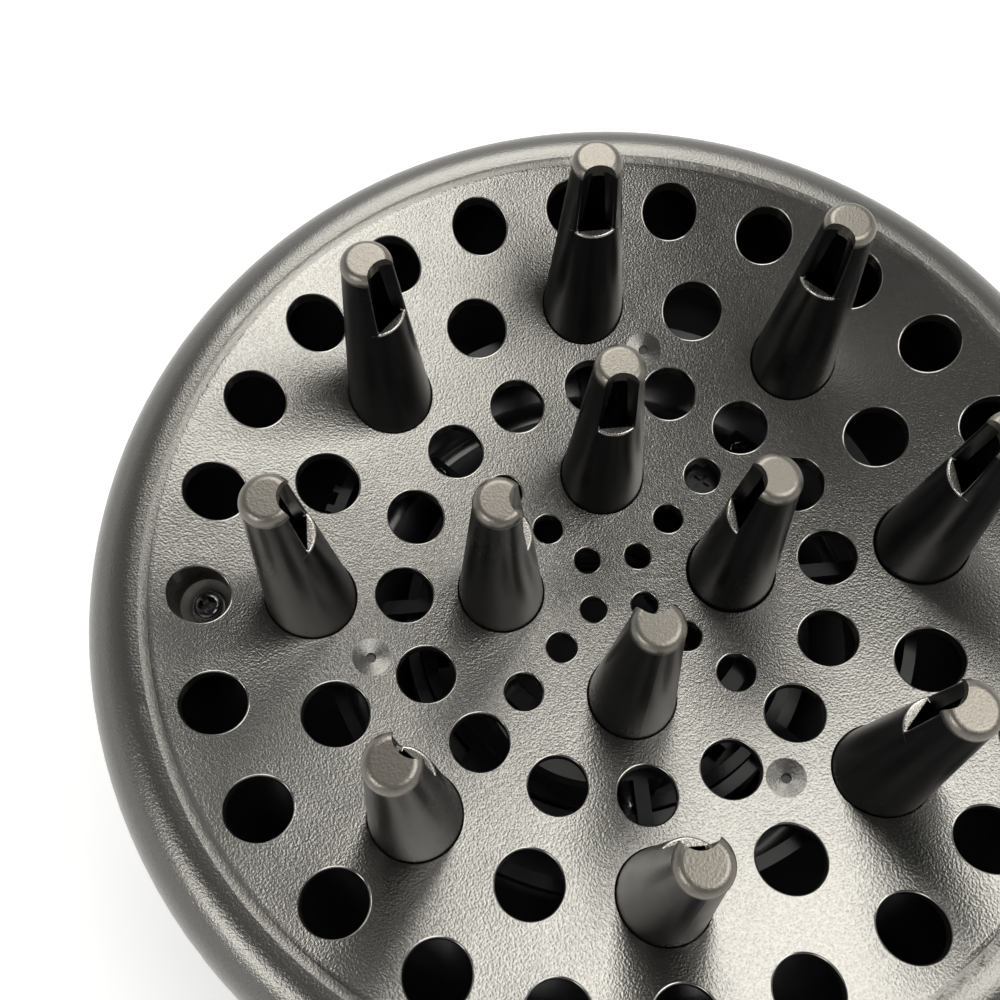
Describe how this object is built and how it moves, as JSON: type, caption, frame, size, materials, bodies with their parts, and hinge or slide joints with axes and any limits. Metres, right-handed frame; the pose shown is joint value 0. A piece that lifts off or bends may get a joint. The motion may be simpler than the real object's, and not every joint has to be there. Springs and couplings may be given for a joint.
{
  "type": "dryer diffuser",
  "caption": "Bowl-shaped hair dryer diffuser with a perforated dish, hollow fingers that a twist ring extends and retracts, and a push-on nozzle socket.",
  "frame": {"origin": "centre of the nozzle socket's mouth, on the flat bottom of the collar", "axes": "+Z out of the dish along the fingers; +X through a screw well of the face plate"},
  "size_m": [0.173, 0.173, 0.1252],
  "materials": {
    "plate": "satin metallic gunmetal with a fine spark-eroded grain",
    "housing": "satin, fine grain",
    "guide": "satin black",
    "collar": "satin, fine grain",
    "liner": "matt, moulded",
    "diverter": "satin black",
    "washer": "smooth, slightly waxy",
    "screw": "black oxide",
    "ring": "satin metallic gunmetal",
    "grip": "matt, ribbed",
    "cam": "smooth, self-lubricating",
    "carrier": "satin black",
    "pin": "polished",
    "finger": "smooth satin black",
    "tip_cap": "light gunmetal with a fine grain"
  },
  "bodies": {
    "housing": {"face_plate": "plate", "rear_housing": "housing", "guide_frame": "guide", "nozzle_collar": "collar", "nozzle_liner": "liner", "air_diverter": "diverter", "friction_washer": "washer", "face_screws": "screw", "frame_screws": "screw", "collar_screws": "screw"},
    "twist_ring": {"twist_ring": "ring", "twist_grip": "grip", "cam_sleeve": "cam", "sleeve_screws": "screw"},
    "finger_set": {"finger_carrier": "carrier", "follower_pin_1": "pin", "follower_pin_2": "pin", "follower_pin_3": "pin", "follower_pin_4": "pin", "finger_inner_1": "finger", "finger_inner_2": "finger", "finger_inner_3": "finger", "finger_inner_4": "finger", "finger_outer_1": "finger", "finger_outer_2": "finger", "finger_outer_3": "finger", "finger_outer_4": "finger", "finger_outer_5": "finger", "finger_outer_6": "finger", "finger_outer_7": "finger", "finger_outer_8": "finger", "tip_cap_inner_1": "tip_cap", "tip_cap_inner_2": "tip_cap", "tip_cap_inner_3": "tip_cap", "tip_cap_inner_4": "tip_cap", "tip_cap_outer_1": "tip_cap", "tip_cap_outer_2": "tip_cap", "tip_cap_outer_3": "tip_cap", "tip_cap_outer_4": "tip_cap", "tip_cap_outer_5": "tip_cap", "tip_cap_outer_6": "tip_cap", "tip_cap_outer_7": "tip_cap", "tip_cap_outer_8": "tip_cap"}
  },
  "joints": [
    {"name": "twist", "type": "hinge", "parent": "housing", "child": "twist_ring", "pos_m": [0, 0, 0.0206], "axis": [0, 0, 1], "range_deg": [0, 50]},
    {"name": "finger_lift", "type": "slide", "parent": "housing", "child": "finger_set", "axis": [0, 0, 1], "range_m": [-0.012, 0]}
  ],
  "couplings": [
    {"joint": "finger_lift", "follows": "twist", "m_per_rad": -0.01375}
  ]
}
